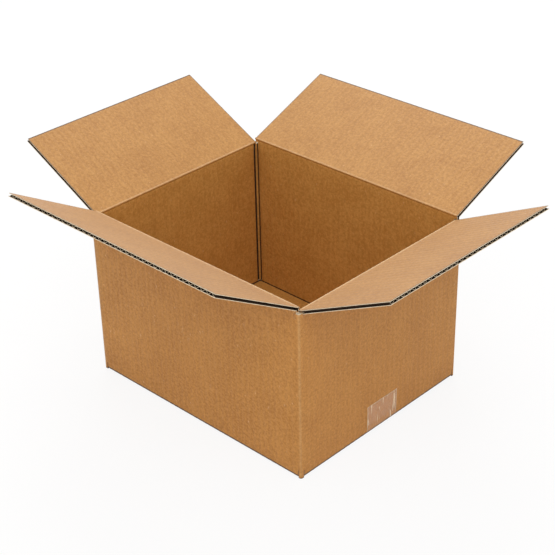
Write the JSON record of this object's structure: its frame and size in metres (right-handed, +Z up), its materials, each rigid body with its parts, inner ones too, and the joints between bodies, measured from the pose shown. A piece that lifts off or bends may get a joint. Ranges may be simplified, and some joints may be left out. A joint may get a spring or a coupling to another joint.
{
  "type": "open cardboard box",
  "caption": "Slotted corrugated shipping box, taped shut underneath, with its top flaps folded open on their score lines.",
  "frame": {"origin": "centre of the base, on the surface that the box stands on", "axes": "+Z up, +X along the long side, -Y towards the front long panel"},
  "size_m": [0.5213, 0.4706, 0.265],
  "materials": {
    "kraft_board": "matt brown kraft paper over flutes",
    "clear_tape": "clear film with a soft gloss"
  },
  "bodies": {
    "carton": {"carton_body": "kraft_board", "sealing_tape": "clear_tape"},
    "front_flap": {"front_flap": "kraft_board"},
    "back_flap": {"back_flap": "kraft_board"},
    "left_flap": {"left_flap": "kraft_board"},
    "right_flap": {"right_flap": "kraft_board"}
  },
  "joints": [
    {"name": "front_fold", "type": "hinge", "parent": "carton", "child": "front_flap", "pos_m": [0, -0.12715, 0.2], "axis": [1, 0, 0], "range_deg": [-149.5, 119.5]},
    {"name": "back_fold", "type": "hinge", "parent": "carton", "child": "back_flap", "pos_m": [0, 0.12715, 0.2], "axis": [-1, 0, 0], "range_deg": [-158, 111]},
    {"name": "left_fold", "type": "hinge", "parent": "carton", "child": "left_flap", "pos_m": [-0.15265, 0, 0.1957], "axis": [0, -1, 0], "range_deg": [-153, 116]},
    {"name": "right_fold", "type": "hinge", "parent": "carton", "child": "right_flap", "pos_m": [0.15265, 0, 0.1957], "axis": [0, 1, 0], "range_deg": [-153.5, 115.5]}
  ]
}
